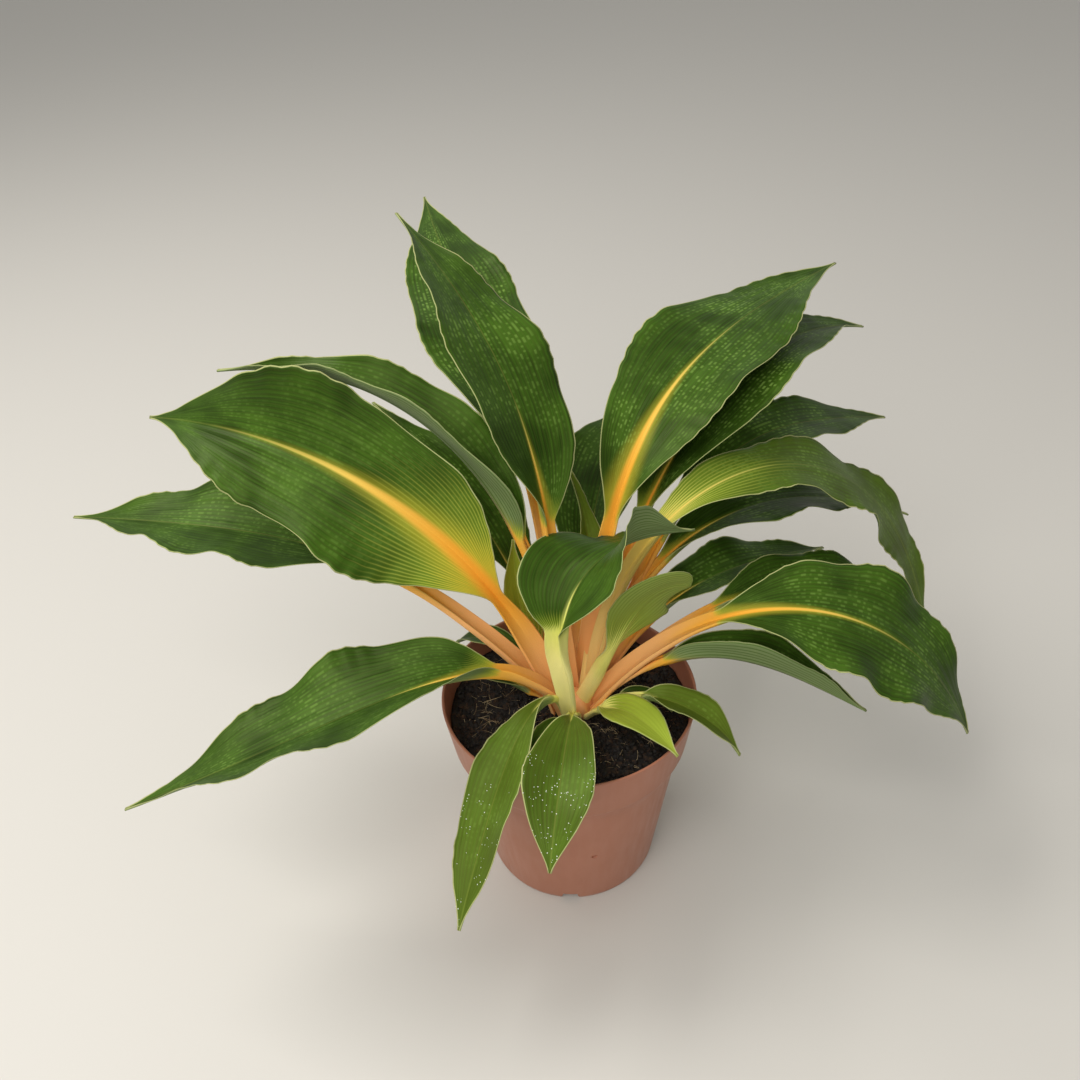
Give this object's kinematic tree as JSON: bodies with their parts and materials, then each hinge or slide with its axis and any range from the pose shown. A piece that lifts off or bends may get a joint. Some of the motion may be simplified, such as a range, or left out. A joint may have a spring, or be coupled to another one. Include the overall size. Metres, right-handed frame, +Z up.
{
  "type": "potted mandarin plant",
  "caption": "Potted mandarin plant: a rosette of broad wavy dark green leaves on orange stalks, rooted in peat in a round terracotta-coloured nursery pot.",
  "frame": {"origin": "centre of the pot's underside, on the surface that it stands on", "axes": "+Z up along the pot's axis, +X to the right and +Y away from a viewer who looks at the plant as in the picture"},
  "size_m": [0.4441, 0.3392, 0.2906],
  "materials": {
    "terracotta_plastic": "satin",
    "peat": "matte",
    "stalk_orange": "satin",
    "leaf_green": "satin",
    "young_leaf": "satin"
  },
  "bodies": {
    "root": {"pot": "terracotta_plastic", "soil": "peat", "crown_and_stalks": "stalk_orange", "leaf_left_large": "leaf_green", "leaf_left_low": "leaf_green", "leaf_left_ribbon": "leaf_green", "leaf_tall_front": "leaf_green", "leaf_tall_rear": "leaf_green", "leaf_top_front": "leaf_green", "leaf_top_rear": "leaf_green", "leaf_right_hooked": "leaf_green", "leaf_right_high": "leaf_green", "leaf_right_shaded": "leaf_green", "leaf_right_under": "leaf_green", "leaf_right_lowest": "leaf_green", "leaf_right_large": "leaf_green", "leaf_right_folded": "leaf_green", "leaf_front_left": "leaf_green", "leaf_hanging_left": "leaf_green", "leaf_hanging_front": "leaf_green", "leaf_hanging_small": "leaf_green", "leaf_front_lime": "young_leaf", "leaf_front_right": "leaf_green", "leaf_small_right": "leaf_green", "leaf_small_inner": "leaf_green", "leaf_centre_open": "leaf_green", "leaf_centre_rolled": "young_leaf", "leaf_centre_bract": "young_leaf", "leaf_back_twisted": "young_leaf", "leaf_back_shade": "leaf_green", "leaf_left_shade": "leaf_green", "leaf_low_left": "leaf_green", "leaf_low_left_small": "leaf_green"}
  },
  "joints": []
}
